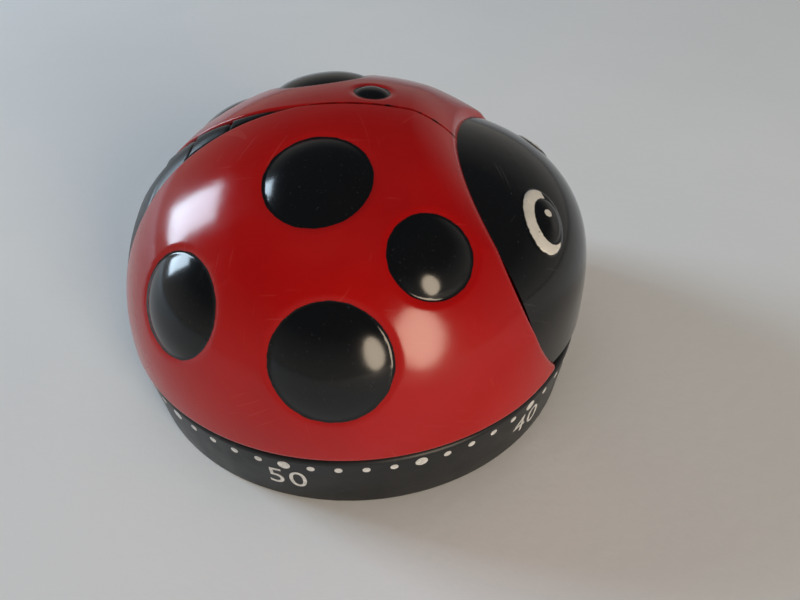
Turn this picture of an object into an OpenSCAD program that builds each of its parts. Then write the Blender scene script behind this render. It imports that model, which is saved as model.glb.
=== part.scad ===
// Wind-up kitchen timer in the shape of a ladybird.
// Millimetres, +Z up. The origin is the centre of the bottom face.
// The ladybird's head points along +X in the rest position.

/* [Base] */
// Radius of the base ring at the dial
ring_r = 36; // [35.8:0.1:36.3]
// Radius of the base ring at its foot
foot_r = 35; // [34.6:0.1:35.3]
// Height of the base ring
ring_h = 10.6; // [10.6:0.1:10.8]
// Radius of the bottom cover
cover_r = 32.4; // [32:0.1:32.5]
// Thickness of the bottom cover
cover_t = 1.6; // [1.4:0.1:1.8]
// Number of sound slots in the bottom cover
slot_count = 8; // [6:1:10]

/* [Shell] */
// Radius of the dome
dome_r = 36.5; // [36:0.1:36.8]
// Height of the dome above its lower edge
dome_h = 33.2; // [32.8:0.1:34]
// Wall thickness of the red wing case
wing_t = 2.2; // [1.8:0.1:2.4]
// Wall thickness of the black body shell
body_t = 1.6; // [1.4:0.1:1.8]
// Distance of the head's own axis in front of the timer's axis
head_x = 7.5; // [7.3:0.1:7.7]
// Radius of the head
head_r = 29.3; // [29:0.1:29.5]
// Height of the head above the shell's lower edge
head_h = 26.9; // [26.6:0.1:27.2]
// How far a large spot stands proud of the dome
spot_rise = 0.8; // [0.5:0.1:1.2]
// Depth of the seam groove between the wing halves
seam_depth = 0.9; // [0.6:0.1:1.2]

/* [Motion] */
// Dial reading in the rest position, in minutes
rest_minute = 33; // [33:1:33]
// Teeth of the main wheel
main_teeth = 60; // [60:10:60]
// Teeth of the second wheel
second_teeth = 54; // [54:9:54]
// Teeth of the third wheel
third_teeth = 50; // [50:10:50]
// Leaves of the second pinion
second_leaves = 10; // [10:1:10]
// Leaves of the third pinion
third_leaves = 9; // [9:1:9]
// Leaves of the escape pinion
escape_leaves = 10; // [10:1:10]
// Teeth of the escape wheel
escape_teeth = 20; // [20:1:20]

/* [Hidden] */
$fn = 64;

// Colours
red = "firebrick";
black = [0.07, 0.07, 0.08];
dark = [0.12, 0.12, 0.13];
brass = "darkgoldenrod";
steel = "silver";

// Fits
slip = 0.05;

// Dome: a rounded, slightly squarer ellipse turned about its axis
shell_z = 11;
dome_power = 2.16;
head_power = 3.85;
wing_gap = 0.1;
head_t = 1.8;
lip_w = 5;
skin_inset = wing_t + wing_gap;
edge_r = 1.1;
profile_steps = 26;

// Head opening: a plane that leans back
cut_tilt = 27.9;
cut_x = 17.7;
cut_z = 37.5;

// Abdomen opening: half width of the slot at distance d behind the axis
tail_start = 7;
tail_end = 40;
tail_half = 10.5;
abdomen_drop = 0.3;
segment_x = [-tail_start, -16.3, -22, -27.2, -31.8, -37];
segment_drop = 0.15;

// Spots: angle round the axis, distance from the axis, radius
spots = [
    [-99.8, 15.1, 7.1],
    [-61.8, 25.8, 5.6],
    [-90.3, 33.1, 7.8],
    [-131.6, 32.2, 7.1],
    [53, 5.8, 2.5],
    [109, 16.4, 7.2],
    [143, 27, 6.8],
    [65, 27, 5.6],
    [92, 33.1, 7.8]
];

// Eyes: angle round the head's axis, height and side of each; half widths, rise and lean of both
eyes = [
    [-28.1, 32.1, -1],
    [36, 28.3, 1]
];
eye_long = 5.5;
eye_short = 3.6;
eye_rise = 0.3;
eye_lean = 41;

// Levels of the movement
plate_t = 1;
deck_t = 1.8;
deck_in_r = 24;
lower_z = ring_h;
lower_top = lower_z + plate_t;
upper_z = 24.6;
upper_top = upper_z + plate_t;
lower_plate_r = 27.5;
upper_plate_r = 25;
cam_z = 11.9;
third_z = 13.3;
spring_z = 14.6;
spring_h = 4.8;
escape_z = 16.5;
bar_z = 18.4;
main_z = 19.9;
main_t = 1.2;
ratchet_z = 21.2;
second_z = 22.7;
wheel_t = 0.8;

// Arbors
arbor_r = 2.5;
rod_r = 0.9;
pivot_r = 0.6;
staff_r = 0.8;
pillar_r = 2;
pillar_ring_r = 22.5;
pillar_angles = [20, 95, 155, 326];
main_module = 0.5;
fine_module = 0.4;
second_ring_r = main_module * (main_teeth + second_leaves) / 2;
third_ring_r = 18.5;
escape_ring_r = 20.2;
balance_ring_r = 20;
second_gap = fine_module * (second_teeth + third_leaves) / 2;
third_gap = fine_module * (third_teeth + escape_leaves) / 2;
escape_tip_r = 5.6;
escape_root_r = 4.3;
pin_r = 0.2;
pin_circle = escape_tip_r + pin_r + 0.08;
pin_half_angle = 4.5 * 180 / escape_teeth;
pallet_gap = pin_circle / cos(pin_half_angle);
pallet_arm = pin_circle * tan(pin_half_angle);
second_angle = 200;
third_angle = second_angle + side_angle(second_ring_r, third_ring_r, second_gap);
escape_angle = third_angle + side_angle(third_ring_r, escape_ring_r, third_gap);
balance_angle = escape_angle + side_angle(escape_ring_r, balance_ring_r, pallet_gap);
second_at = polar(second_ring_r, second_angle);
third_at = polar(third_ring_r, third_angle);
escape_at = polar(escape_ring_r, escape_angle);
balance_at = polar(balance_ring_r, balance_angle);

// Bell and hammer
bell_r = 20;
bell_low = 2.6;
bell_high = 8.1;
bell_t = 0.7;
post_h = bell_high - bell_t;
hammer_ring_r = 22.5;
hammer_angle = 60;
hammer_at = polar(hammer_ring_r, hammer_angle);
hammer_head_r = 1.5;
hammer_head_angle = 92;
hammer_z = 5;
nose_r = 12;
cam_r = 6.5;
nose_half = 1.05;
zero_turn = rest_minute * 6;
nose_angle = hammer_angle - 3 - zero_turn;

// Stops: the lug under the shell and the rib on the deck
stop_r = 30.6;
stop_w = 2;
stop_half = 1.45;
stop_lug_angle = 180;
stop_rib_angle = stop_lug_angle + zero_turn + 3;

// Fasteners
boss_ring_r = 28.5;
boss_angles = [30, 150, 270];
cover_screw_r = 1.2;
plate_screw_ring_r = 25.8;
plate_screw_angles = [5, 125, 245];
hub_screw_ring_r = 6.2;
shell_screw_angles = [90, 205, 270];
screw_bite = 1.25;
screw_seat = 0.3;
hub_z = 27;
hub_top = 34;
flange_z = 32.4;

// Mainspring: radius grows evenly from the inner end to the outer end
spring_in_r = 3.4;
spring_out_r = 12.6;
spring_turns = 6;
ribbon_t = 0.3;
spring_steps = spring_turns * 20;
spring_post_angle = 120;
spring_post_at = polar(spring_out_r + 1.3, spring_post_angle);

// Ratchet and click
ratchet_teeth = 24;
ratchet_tip_r = 5.4;
ratchet_root_r = 4.7;
click_ring_r = 9.4;
click_angle = 90;
click_at = polar(click_ring_r, click_angle);
click_t = 0.85;
click_beak_angle = 46.9;
click_lean = direction(click_at, polar(ratchet_tip_r, click_beak_angle));
click_spring_r = 10.75;
click_spring_angles = [for (a = [48 : 4 : 72]) a];

// Open coil round the hammer's staff
coil_r = 1.45;
coil_wire_r = 0.2;
coil_turns = 5;
coil_pitch = 0.9;
coil_sides = 8;
coil_steps = coil_turns * 14;
coil_points = [
    for (i = [0 : coil_steps])
        let (turn = 360 * coil_turns * i / coil_steps)
        for (k = [0 : coil_sides - 1])
            let (a = 360 * k / coil_sides)
            [
                (coil_r + coil_wire_r * cos(a)) * cos(turn),
                (coil_r + coil_wire_r * cos(a)) * sin(turn),
                coil_pitch * turn / 360 + coil_wire_r * sin(a)
            ]
];
coil_faces = concat(
    [[for (k = [0 : coil_sides - 1]) k]],
    [for (i = [0 : coil_steps - 1])
        for (k = [0 : coil_sides - 1])
            [i * coil_sides + k, (i + 1) * coil_sides + k,
             (i + 1) * coil_sides + (k + 1) % coil_sides, i * coil_sides + (k + 1) % coil_sides]],
    [[for (k = [coil_sides - 1 : -1 : 0]) coil_steps * coil_sides + k]]
);

function polar(r, a) = [r * cos(a), r * sin(a)];
function side_angle(a, b, c) = acos((a * a + b * b - c * c) / (2 * a * b));
function direction(from, to) = atan2(to[1] - from[1], to[0] - from[0]);
function dome_z(r, size_r, size_h, power) = size_h * pow(max(0, 1 - pow(r / size_r, 2)), 1 / power);
function dome_r_at(z, size_r, size_h, power) = size_r * sqrt(max(0, 1 - pow(z / size_h, power)));
function spiral_point(i, side) = polar(
    spring_in_r + (spring_out_r - spring_in_r) * i / spring_steps + side * ribbon_t / 2,
    spring_post_angle - 360 * spring_turns * (1 - i / spring_steps));
function reversed(list) = [for (i = [len(list) - 1 : -1 : 0]) list[i]];
function click_spring_point(a, side) = polar(
    click_spring_r - (a - click_spring_angles[0]) * 0.08 + side * 0.15, a);

// ---------- shared shapes ----------

// Half outline of a dome, from its lower edge to its top
function dome_outline(size_r, size_h, power) = [
    for (i = [0 : profile_steps])
        let (a = 90 * i / profile_steps, z = size_h * pow(sin(a), 1.35))
        [dome_r_at(z, size_r, size_h, power), shell_z + z]
];

module dome(size_r, size_h, power) {
    rotate_extrude($fn = 96)
        polygon(concat([[0, shell_z]], dome_outline(size_r, size_h, power)));
}

module outer_dome(inset) {
    dome(dome_r - inset, dome_h - inset, dome_power);
}

module head_dome(inset) {
    translate([head_x, 0, 0])
        dome(head_r - inset, head_h - inset, head_power);
}

// Everything in front of the leaning plane, moved forward by shift
module front_space(shift) {
    translate([cut_x + shift, -50, cut_z])
        rotate([0, -cut_tilt, 0])
        translate([0, 0, -80])
        cube([60, 100, 120]);
}

// Wedge behind the axis that opens towards the tail
module tail_wedge(margin) {
    translate([0, 0, shell_z - 5])
        linear_extrude(50)
        polygon([
            [-tail_start - 4 * margin, 0],
            [-20, 2 - margin],
            [-25.5, 3.9 - margin],
            [-29, 6.6 - margin],
            [-tail_end, tail_half - margin],
            [-tail_end, margin - tail_half],
            [-29, margin - 6.6],
            [-25.5, margin - 3.9],
            [-20, margin - 2]
        ]);
}

module ring_wall(outer_r, inner_r, h) {
    difference() {
        cylinder(r = outer_r, h = h);
        translate([0, 0, -1]) cylinder(r = inner_r, h = h + 2);
    }
}

module at_each(angles, ring_radius, z) {
    for (a = angles)
        translate([ring_radius * cos(a), ring_radius * sin(a), z]) rotate([0, 0, a]) children();
}

// Clock wheel: thin teeth with pointed ends, the first one centred on angle start
module toothed_disc(teeth, module_size, start, thickness) {
    pitch_r = teeth * module_size / 2;
    root_r = pitch_r - 1.35 * module_size;
    step = 360 / teeth;
    linear_extrude(thickness)
        polygon([
            for (i = [0 : teeth - 1])
                for (p = [[root_r, -0.27], [pitch_r, -0.22], [pitch_r + 0.6 * module_size, -0.15],
                          [pitch_r + 0.95 * module_size, -0.05], [pitch_r + 0.95 * module_size, 0.05],
                          [pitch_r + 0.6 * module_size, 0.15], [pitch_r, 0.22], [root_r, 0.27]])
                    polar(p[0], start + (i + p[1]) * step)
        ]);
}

// Pinion: radial leaves, the first one centred on angle start
module leaf_rod(leaves, module_size, start, length) {
    pitch_r = leaves * module_size / 2;
    root_r = pitch_r - 1.25 * module_size;
    step = 360 / leaves;
    linear_extrude(length)
        polygon([
            for (i = [0 : leaves - 1])
                for (p = [[root_r, -0.16], [pitch_r, -0.14], [pitch_r + 0.3 * module_size, -0.06],
                          [pitch_r + 0.3 * module_size, 0.06], [pitch_r, 0.14], [root_r, 0.16]])
                    polar(p[0], start + (i + p[1]) * step)
        ]);
}

// Round windows between hub and rim of a wheel
module wheel_windows(count, ring_radius, window_r) {
    for (i = [0 : count - 1])
        rotate([0, 0, 360 * i / count])
            translate([ring_radius, 0, -1]) cylinder(r = window_r, h = 4, $fn = 32);
}

// Shaft between the plates with a thin pivot at each end
module pivoted_rod() {
    translate([0, 0, lower_z + 0.1]) cylinder(r = pivot_r, h = upper_top - lower_z - 0.2, $fn = 32);
    translate([0, 0, lower_top + 0.2]) cylinder(r = rod_r, h = upper_z - lower_top - 0.4, $fn = 32);
}

// ---------- shell ----------

module spot_cap(spot) {
    spot_z = dome_z(spot[1], dome_r, dome_h, dome_power);
    slope_r = 2 * spot[1] / pow(dome_r, 2);
    slope_z = dome_power * pow(spot_z, dome_power - 1) / pow(dome_h, dome_power);
    rise = spot_rise * min(1, spot[2] / 5);
    cap_h = rise + pow(spot[2], 2) / (2 * 34);
    cap_r = (pow(spot[2], 2) + pow(cap_h, 2)) / (2 * cap_h);
    rotate([0, 0, spot[0]])
        translate([spot[1], 0, shell_z + spot_z])
        rotate([0, atan2(slope_r, slope_z), 0])
        intersection() {
            translate([0, 0, rise - cap_r]) sphere(r = cap_r, $fn = 96);
            translate([0, 0, -1.4 - cap_h]) cylinder(r = spot[2] + 1, h = 6, $fn = 64);
        }
}

module wing_case() {
    color(red)
    difference() {
        union() {
            outer_dome(0);
            for (spot = spots) spot_cap(spot);
        }
        outer_dome(wing_t);
        translate([0, 0, shell_z - 1])
            cylinder(r = dome_r_at(2, dome_r, dome_h, dome_power) - wing_t, h = 1.5);
        front_space(0);
        tail_wedge(0);
        // rounded lower edge
        translate([0, 0, shell_z]) rotate_extrude($fn = 96)
            polygon([[dome_r - edge_r, -1], [dome_r + 2, -1], [dome_r + 2, edge_r * 2],
                     [dome_r - 0.06, edge_r * 2], [dome_r - 0.3, edge_r], [dome_r - edge_r, 0]]);
        // seam groove
        intersection() {
            translate([-tail_start - 2, -0.35, shell_z]) cube([40, 0.7, 60]);
            difference() {
                outer_dome(-5);
                outer_dome(seam_depth);
            }
        }
        // blind bores for the shell screws
        for (a = shell_screw_angles)
            shell_screw_axis(a) cylinder(r = 0.85, h = body_t + wing_gap + screw_bite + 0.15, $fn = 32);
    }
}

module eye_bump(eye) {
    reach = dome_r_at(eye[1] - shell_z, head_r, head_h, head_power);
    slope_r = 2 * reach / pow(head_r, 2);
    slope_z = head_power * pow(eye[1] - shell_z, head_power - 1) / pow(head_h, head_power);
    intersection() {
        head_dome(-eye_rise);
        translate([head_x, 0, eye[1]])
            rotate([0, 0, eye[0]])
            translate([reach, 0, 0])
            rotate([0, atan2(slope_r, slope_z), 0])
            translate([0, 0, -3])
            linear_extrude(6)
            rotate([0, 0, -eye[2] * eye_lean])
            polygon([for (i = [0 : 47]) [eye_short * cos(i * 7.5), eye_long * sin(i * 7.5)]]);
    }
}

module head() {
    color(black)
    difference() {
        union() {
            intersection() {
                head_dome(0);
                front_space(wing_gap);
            }
            for (eye = eyes) eye_bump(eye);
        }
        head_dome(head_t);
    }
}

module body_shell() {
    color(black)
    difference() {
        union() {
            // skin under the wing case
            difference() {
                outer_dome(skin_inset);
                outer_dome(skin_inset + body_t);
                front_space(wing_gap);
            }
            // lip that the head sits on
            intersection() {
                difference() {
                    head_dome(head_t + 0.05);
                    head_dome(head_t + body_t);
                }
                front_space(-lip_w / 2);
                difference() {
                    translate([0, -50, shell_z]) cube([60, 100, 60]);
                    front_space(lip_w / 2);
                }
                union() {
                    front_space(wing_gap);
                    outer_dome(skin_inset);
                }
            }
            // post for the drive hub
            intersection() {
                translate([0, 0, hub_top]) cylinder(r = 8, h = 12);
                outer_dome(skin_inset + 0.5);
            }
            // stop lug
            rotate([0, 0, stop_lug_angle - stop_half])
                rotate_extrude(angle = 2 * stop_half, $fn = 96)
                translate([stop_r - stop_w / 2, shell_z]) square([3.2, 3]);
        }
        // bores for the hub screws
        for (side = [-1, 1])
            translate([side * hub_screw_ring_r, 0, hub_top - 1]) cylinder(r = 0.7, h = 4, $fn = 32);
        // bores for the shell screws
        for (a = shell_screw_angles)
            shell_screw_axis(a) {
                translate([0, 0, -6]) cylinder(r = 0.85, h = 12, $fn = 32);
                translate([0, 0, screw_seat - 2]) cylinder(r = 1.6, h = 2, $fn = 32);
            }
    }
}

// Overlapping plates behind the wings, each one lower than the plate before it
module abdomen() {
    color(black)
    difference() {
        union() {
            for (i = [0 : len(segment_x) - 2])
                intersection() {
                    outer_dome(abdomen_drop + i * segment_drop);
                    translate([segment_x[i + 1], -20, shell_z - 1])
                        cube([segment_x[i] - segment_x[i + 1], 40, 60]);
                    tail_wedge(0.15);
                }
        }
        outer_dome(skin_inset);
    }
}

// Axis of a screw that goes through the body shell's skirt into the wing case
module shell_screw_axis(a) {
    rotate([0, 0, a])
        translate([dome_r_at(4, dome_r, dome_h, dome_power) - wing_t - wing_gap - body_t, 0, shell_z + 4])
        rotate([0, 90, 0])
        children();
}

module shell_screws() {
    color(steel)
    for (a = shell_screw_angles)
        shell_screw_axis(a) {
            translate([0, 0, screw_seat - 0.8]) cylinder(r = 1.5, h = 0.8, $fn = 32);
            cylinder(r = 0.8, h = body_t + wing_gap + screw_bite, $fn = 32);
        }
}

module drive_hub() {
    color(dark)
    difference() {
        union() {
            translate([0, 0, hub_z]) cylinder(r = 4.6, h = hub_top - hub_z);
            translate([0, 0, flange_z]) cylinder(r = 8, h = hub_top - flange_z);
        }
        // socket with one flat
        intersection() {
            translate([0, 0, hub_z - 1]) cylinder(r = 2.02, h = 7.5);
            translate([-3, -3, hub_z - 1]) cube([4.42, 6, 7.5]);
        }
        for (side = [-1, 1])
            translate([side * hub_screw_ring_r, 0, flange_z - 1]) cylinder(r = 0.85, h = 4, $fn = 32);
    }
}

module hub_screws() {
    color(steel)
    for (side = [-1, 1])
        translate([side * hub_screw_ring_r, 0, 0]) {
            translate([0, 0, flange_z - 0.9]) cylinder(r = 1.4, h = 0.9, $fn = 32);
            translate([0, 0, flange_z - 0.5]) cylinder(r = 0.65, h = 4.3, $fn = 32);
        }
}

// ---------- base ----------

module base_ring() {
    color(dark)
    difference() {
        union() {
            rotate_extrude($fn = 96)
                polygon([
                    [foot_r - 0.5, 0], [foot_r, 0.5], [ring_r, ring_h - 1.7], [ring_r + 0.05, ring_h - 0.9],
                    [ring_r - 0.15, ring_h - 0.35], [ring_r - 0.6, ring_h], [deck_in_r, ring_h],
                    [deck_in_r, ring_h - deck_t], [31.8, ring_h - deck_t], [31.8, cover_t + 0.02],
                    [cover_r + 0.1, cover_t + 0.02], [cover_r + 0.1, 0]
                ]);
            at_each(boss_angles, boss_ring_r, cover_t + 0.02)
                cylinder(r = 2.6, h = ring_h - deck_t - cover_t + 0.5, $fn = 48);
            // stop rib
            rotate([0, 0, stop_rib_angle - stop_half])
                rotate_extrude(angle = 2 * stop_half, $fn = 96)
                translate([stop_r - stop_w / 2, ring_h - 0.5]) square([stop_w, 3.2]);
        }
        at_each(boss_angles, boss_ring_r, 0) cylinder(r = cover_screw_r, h = 8, $fn = 32);
        at_each(plate_screw_angles, plate_screw_ring_r, ring_h - 3) cylinder(r = 0.9, h = 4, $fn = 32);
    }
}

module bottom_cover() {
    color(dark)
    difference() {
        union() {
            cylinder(r = cover_r, h = cover_t, $fn = 96);
            cylinder(r = 4, h = post_h, $fn = 48);
        }
        for (i = [0 : slot_count - 1])
            rotate([0, 0, 360 * (i + 0.5) / slot_count])
                translate([0, 0, -1]) {
                    translate([8, -1, 0]) cube([10, 2, 4]);
                    translate([8, 0, 0]) cylinder(r = 1, h = 4, $fn = 32);
                    translate([18, 0, 0]) cylinder(r = 1, h = 4, $fn = 32);
                }
        translate([0, 0, cover_t + 0.6]) cylinder(r = 1.1, h = 8, $fn = 32);
        at_each(boss_angles, boss_ring_r, -1) cylinder(r = cover_screw_r + 0.1, h = 4, $fn = 32);
        at_each(boss_angles, boss_ring_r, -1) cylinder(r = 2.5, h = 1.52, $fn = 32);
        at_each(boss_angles, boss_ring_r, 0.5)
            cylinder(r1 = 2.5, r2 = cover_screw_r + 0.1, h = 0.9, $fn = 32);
    }
}

module cover_screws() {
    color(steel)
    at_each(boss_angles, boss_ring_r, 0)
        difference() {
            union() {
                translate([0, 0, 0.5]) cylinder(r1 = 2.4, r2 = 1.15, h = 0.85, $fn = 32);
                translate([0, 0, 0.5]) cylinder(r = 1.15, h = 7, $fn = 32);
            }
            translate([-0.25, -1.4, 0]) cube([0.5, 2.8, 1]);
            translate([-1.4, -0.25, 0]) cube([2.8, 0.5, 1]);
        }
}

module bell() {
    crown_r = bell_r - 5;
    color(steel)
    difference() {
        rotate_extrude($fn = 96)
            polygon(concat(
                [[0, bell_high], [0, bell_high - bell_t], [crown_r, bell_high - bell_t]],
                [for (a = [80 : -10 : 0])
                    [crown_r + (5 - bell_t) * cos(a), bell_low + (bell_high - bell_t - bell_low) * sin(a)]],
                [for (a = [0 : 10 : 90])
                    [crown_r + 5 * cos(a), bell_low + (bell_high - bell_low) * sin(a)]]
            ));
        translate([0, 0, bell_high - 2]) cylinder(r = 1.15, h = 4, $fn = 32);
    }
}

module bell_screw() {
    color(steel)
    difference() {
        union() {
            translate([0, 0, bell_high]) cylinder(r = 2.2, h = 1.2, $fn = 32);
            translate([0, 0, cover_t + 1]) cylinder(r = 1.05, h = bell_high - cover_t, $fn = 32);
        }
        translate([-2.5, -0.25, bell_high + 0.7]) cube([5, 0.5, 1]);
    }
}

// ---------- movement, fixed parts ----------

module arbor_holes(hole_z) {
    for (p = [second_at, third_at, escape_at, balance_at])
        translate([p[0], p[1], hole_z]) cylinder(r = pivot_r + slip, h = 3, $fn = 32);
    translate([hammer_at[0], hammer_at[1], hole_z]) cylinder(r = staff_r + slip, h = 3, $fn = 32);
}

module lower_plate() {
    color(brass)
    difference() {
        translate([0, 0, lower_z]) cylinder(r = lower_plate_r, h = plate_t, $fn = 96);
        translate([0, 0, lower_z - 1]) cylinder(r = 1.5 + slip, h = 3, $fn = 48);
        arbor_holes(lower_z - 1);
        at_each(pillar_angles, pillar_ring_r, lower_z - 1) cylinder(r = 1.05, h = 3, $fn = 32);
        at_each(plate_screw_angles, plate_screw_ring_r, lower_z - 1) cylinder(r = 1, h = 3, $fn = 32);
        translate([spring_post_at[0], spring_post_at[1], lower_z - 1]) cylinder(r = 0.72, h = 3, $fn = 32);
        // lightening windows
        at_each([-40, 40, 170], 12, lower_z - 1) cylinder(r = 3.5, h = 3, $fn = 48);
    }
}

module upper_plate() {
    color(brass)
    difference() {
        translate([0, 0, upper_z]) cylinder(r = upper_plate_r, h = plate_t, $fn = 96);
        translate([0, 0, upper_z - 1]) cylinder(r = 2.1 + slip, h = 3, $fn = 48);
        arbor_holes(upper_z - 1);
        at_each(pillar_angles, pillar_ring_r, upper_z - 1) cylinder(r = 1.05, h = 3, $fn = 32);
        at_each([-60, 60, 130, 240], 13, upper_z - 1) cylinder(r = 4, h = 3, $fn = 48);
    }
}

module plate_screws() {
    color(steel)
    at_each(plate_screw_angles, plate_screw_ring_r, 0)
        difference() {
            union() {
                translate([0, 0, lower_top]) cylinder(r = 1.6, h = 0.9, $fn = 32);
                translate([0, 0, ring_h - deck_t]) cylinder(r = 0.85, h = deck_t + plate_t + 0.2, $fn = 32);
            }
            translate([-2, -0.2, lower_top + 0.5]) cube([4, 0.4, 1]);
        }
}

module pillars() {
    color(steel)
    at_each(pillar_angles, pillar_ring_r, 0) {
        translate([0, 0, lower_top]) cylinder(r = pillar_r, h = upper_z - lower_top, $fn = 48);
        translate([0, 0, lower_z + 0.05]) cylinder(r = 1, h = upper_top - lower_z + 1.5, $fn = 32);
    }
}

module pillar_nuts() {
    color(steel)
    at_each(pillar_angles, pillar_ring_r, upper_top)
        difference() {
            cylinder(r = 2, h = 1.3, $fn = 6);
            translate([0, 0, -1]) cylinder(r = 1.05, h = 4, $fn = 32);
        }
}

module mainspring() {
    color([0.3, 0.32, 0.38])
    translate([0, 0, spring_z]) {
        linear_extrude(spring_h)
            polygon(concat(
                [for (i = [0 : spring_steps]) spiral_point(i, 1)],
                [for (i = [spring_steps : -1 : 0]) spiral_point(i, -1)]
            ));
        // eye on the outer end, round the post
        translate([spring_post_at[0], spring_post_at[1], 0])
            ring_wall(1.2, 0.8, spring_h);
    }
}

module spring_post() {
    color(steel)
    translate([spring_post_at[0], spring_post_at[1], 0]) {
        translate([0, 0, lower_z + 0.05]) cylinder(r = 0.7, h = spring_z + spring_h - lower_z, $fn = 32);
        translate([0, 0, spring_z + spring_h + 0.05]) cylinder(r = 0.95, h = 0.3, $fn = 32);
    }
}

// ---------- movement, parts on the main arbor ----------

module main_arbor() {
    color(steel)
    union() {
        translate([0, 0, lower_z - 0.1]) cylinder(r = 1.5, h = 3, $fn = 48);
        translate([0, 0, lower_top + 0.2]) cylinder(r = arbor_r, h = upper_z - lower_top - 0.4, $fn = 48);
        translate([0, 0, upper_z - 1]) cylinder(r = 2.1, h = 2.4, $fn = 48);
        intersection() {
            translate([0, 0, upper_top]) cylinder(r = 2, h = 7.2, $fn = 48);
            translate([-3, -3, upper_top]) cube([4.4, 6, 8]);
        }
    }
}

module trip_cam() {
    color(brass)
    translate([0, 0, cam_z])
        difference() {
            union() {
                cylinder(r = cam_r, h = 1);
                linear_extrude(1)
                    polygon([polar(cam_r - 1, nose_angle - 9), polar(nose_r, nose_angle - nose_half),
                             polar(nose_r, nose_angle + nose_half), polar(cam_r - 1, nose_angle + 9)]);
            }
            translate([0, 0, -1]) cylinder(r = arbor_r + 0.02, h = 3, $fn = 48);
        }
}

module ratchet_wheel() {
    color(steel)
    translate([0, 0, ratchet_z])
        difference() {
            linear_extrude(1)
                polygon([for (i = [0 : ratchet_teeth - 1])
                    for (p = [[ratchet_tip_r, 0], [ratchet_root_r, 0.08]])
                        polar(p[0], (i + p[1]) * 360 / ratchet_teeth)]);
            translate([0, 0, -1]) cylinder(r = arbor_r + 0.02, h = 3, $fn = 48);
        }
}

module main_wheel() {
    color(brass)
    translate([0, 0, main_z])
        difference() {
            toothed_disc(main_teeth, main_module, second_angle, main_t);
            translate([0, 0, -1]) cylinder(r = arbor_r + slip, h = 4, $fn = 48);
            rotate([0, 0, 25]) wheel_windows(3, 8.6, 2.8);
            translate([click_at[0], click_at[1], -1]) cylinder(r = 0.62, h = 4, $fn = 32);
        }
}

// Click: swings on a stud on the main wheel, its beak rests in the ratchet
module click_stud() {
    color(steel)
    translate([click_at[0], click_at[1], 0]) {
        translate([0, 0, main_z]) cylinder(r = 0.6, h = main_t + 1.15, $fn = 32);
        translate([0, 0, ratchet_z + 1.05]) cylinder(r = 1, h = 0.25, $fn = 32);
    }
}

module click() {
    color(steel)
    translate([0, 0, ratchet_z + 0.1])
        difference() {
            union() {
                translate([click_at[0], click_at[1], 0]) cylinder(r = 1.2, h = click_t, $fn = 32);
                linear_extrude(click_t)
                    polygon([
                        click_at + polar(1.15, click_lean + 90),
                        click_at + polar(1.15, click_lean - 90),
                        polar(ratchet_tip_r + 0.25, click_beak_angle + 10),
                        polar(ratchet_tip_r - 0.45, click_beak_angle),
                        polar(ratchet_tip_r + 0.9, click_beak_angle + 1.6)
                    ]);
            }
            translate([click_at[0], click_at[1], -1]) cylinder(r = 0.6 + slip, h = 3, $fn = 32);
        }
}

module click_spring() {
    color(steel)
    translate([0, 0, main_z + main_t])
        union() {
            linear_extrude(0.9)
                polygon(concat(
                    [for (a = click_spring_angles) click_spring_point(a, 1)],
                    [for (a = reversed(click_spring_angles)) click_spring_point(a, -1)]
                ));
            translate(concat(polar(click_spring_r, click_spring_angles[0] - 1), [0]))
                cylinder(r = 0.8, h = 0.9, $fn = 32);
        }
}

// ---------- movement, train ----------

module second_wheel() {
    color(brass)
    translate([second_at[0], second_at[1], second_z])
        difference() {
            toothed_disc(second_teeth, fine_module, direction(second_at, third_at), wheel_t);
            translate([0, 0, -1]) cylinder(r = rod_r, h = 3, $fn = 32);
            wheel_windows(4, 5.6, 2.4);
        }
}

module second_pinion() {
    color(steel)
    translate([second_at[0], second_at[1], 0]) {
        pivoted_rod();
        translate([0, 0, main_z - 0.3])
            leaf_rod(second_leaves, main_module, second_angle + 180 + 180 / second_leaves, 2);
    }
}

module third_wheel() {
    color(brass)
    translate([third_at[0], third_at[1], third_z])
        difference() {
            toothed_disc(third_teeth, fine_module, direction(third_at, escape_at), wheel_t);
            translate([0, 0, -1]) cylinder(r = rod_r, h = 3, $fn = 32);
            wheel_windows(4, 5.2, 2.2);
        }
}

module third_pinion() {
    color(steel)
    translate([third_at[0], third_at[1], 0]) {
        pivoted_rod();
        translate([0, 0, second_z - 0.4])
            leaf_rod(third_leaves, fine_module,
                direction(third_at, second_at) + 180 / third_leaves, 1.6);
    }
}

module escape_wheel() {
    step = 360 / escape_teeth;
    // a quarter pitch off the pins, so that either pin can enter a gap
    start = direction(escape_at, balance_at) + pin_half_angle + step / 4;
    color(brass)
    translate([escape_at[0], escape_at[1], escape_z])
        difference() {
            linear_extrude(wheel_t)
                polygon([for (i = [0 : escape_teeth - 1])
                    for (p = [[escape_root_r, -0.2], [escape_tip_r, -0.05],
                              [escape_tip_r, 0.05], [escape_root_r, 0.2]])
                        polar(p[0], start + (i + p[1]) * step)]);
            translate([0, 0, -1]) cylinder(r = rod_r, h = 3, $fn = 32);
            wheel_windows(4, 2.5, 0.8);
        }
}

module escape_pinion() {
    color(steel)
    translate([escape_at[0], escape_at[1], 0]) {
        pivoted_rod();
        translate([0, 0, third_z - 0.4])
            leaf_rod(escape_leaves, fine_module,
                direction(escape_at, third_at) + 180 / escape_leaves, 1.6);
    }
}

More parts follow.
